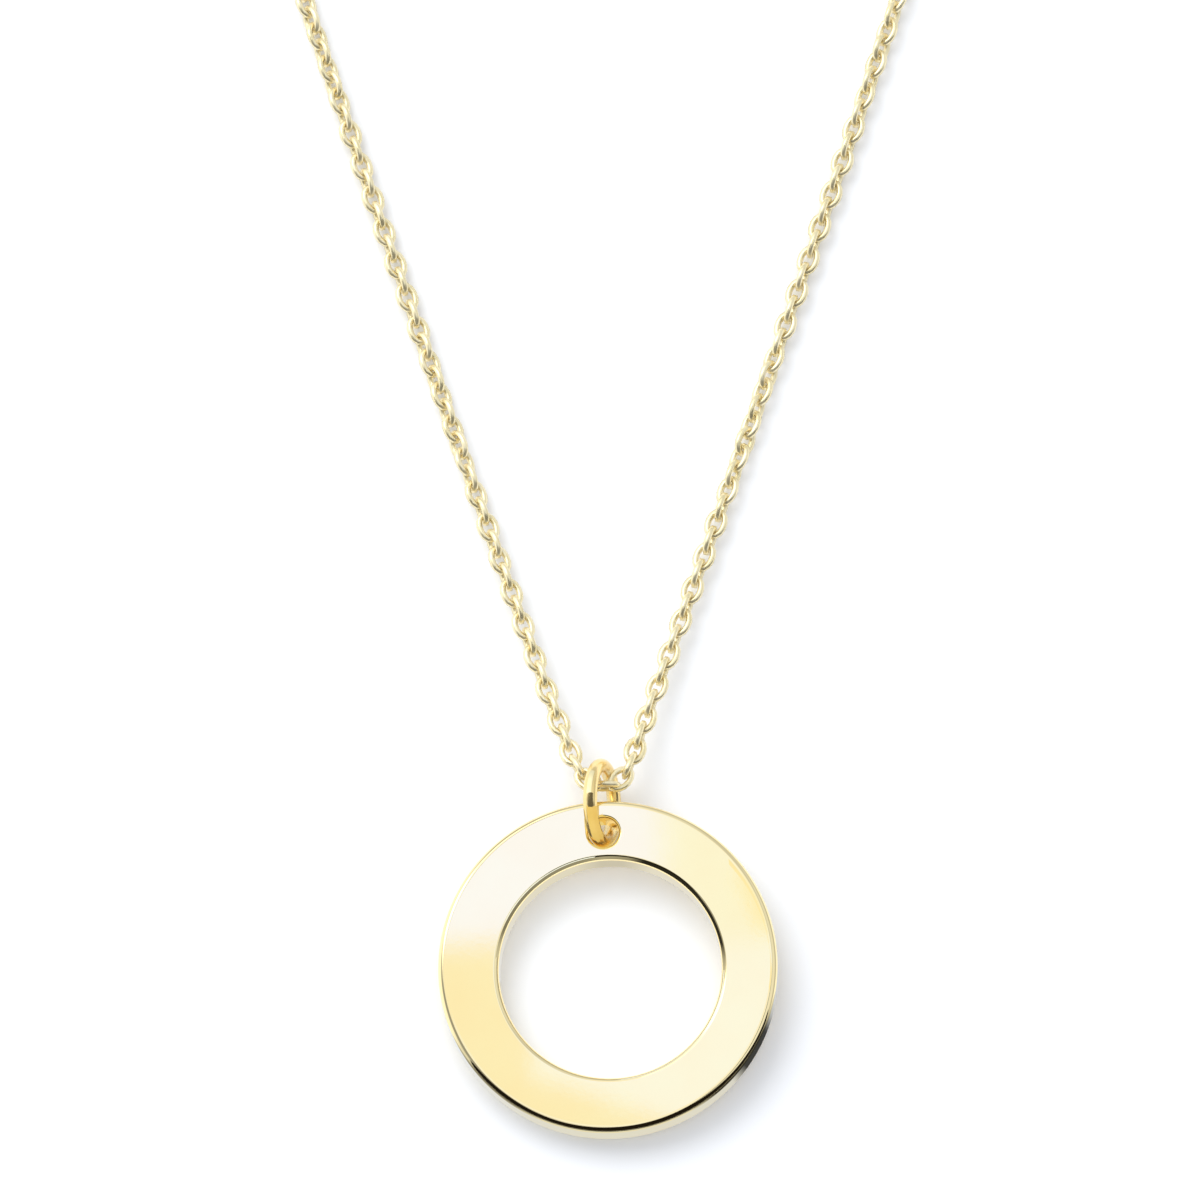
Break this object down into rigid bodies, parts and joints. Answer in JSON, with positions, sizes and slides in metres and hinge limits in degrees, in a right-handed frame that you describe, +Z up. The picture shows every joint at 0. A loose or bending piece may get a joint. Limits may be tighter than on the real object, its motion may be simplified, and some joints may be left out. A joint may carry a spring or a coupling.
{
  "type": "ring necklace",
  "caption": "Necklace lying flat: a thick round open washer on a jump ring, hung on a closed fine cable chain with a barrel clasp.",
  "frame": {"origin": "on the surface that the necklace lies on, under the middle of the whole necklace", "axes": "+Z up from the surface, +Y from the pendant up the chain to the clasp, +X to the right seen from above"},
  "size_m": [0.0878, 0.2162, 0.0046],
  "materials": {
    "washer_gold": "mirror polished pale yellow gold plate",
    "jump_ring_gold": "polished deeper yellow gold plate",
    "chain_gold": "polished pale yellow gold plate",
    "clasp_gold": "polished pale yellow gold plate"
  },
  "bodies": {
    "root": {"washer": "washer_gold", "jump_ring": "jump_ring_gold", "chain": "chain_gold", "clasp": "clasp_gold"}
  },
  "joints": []
}
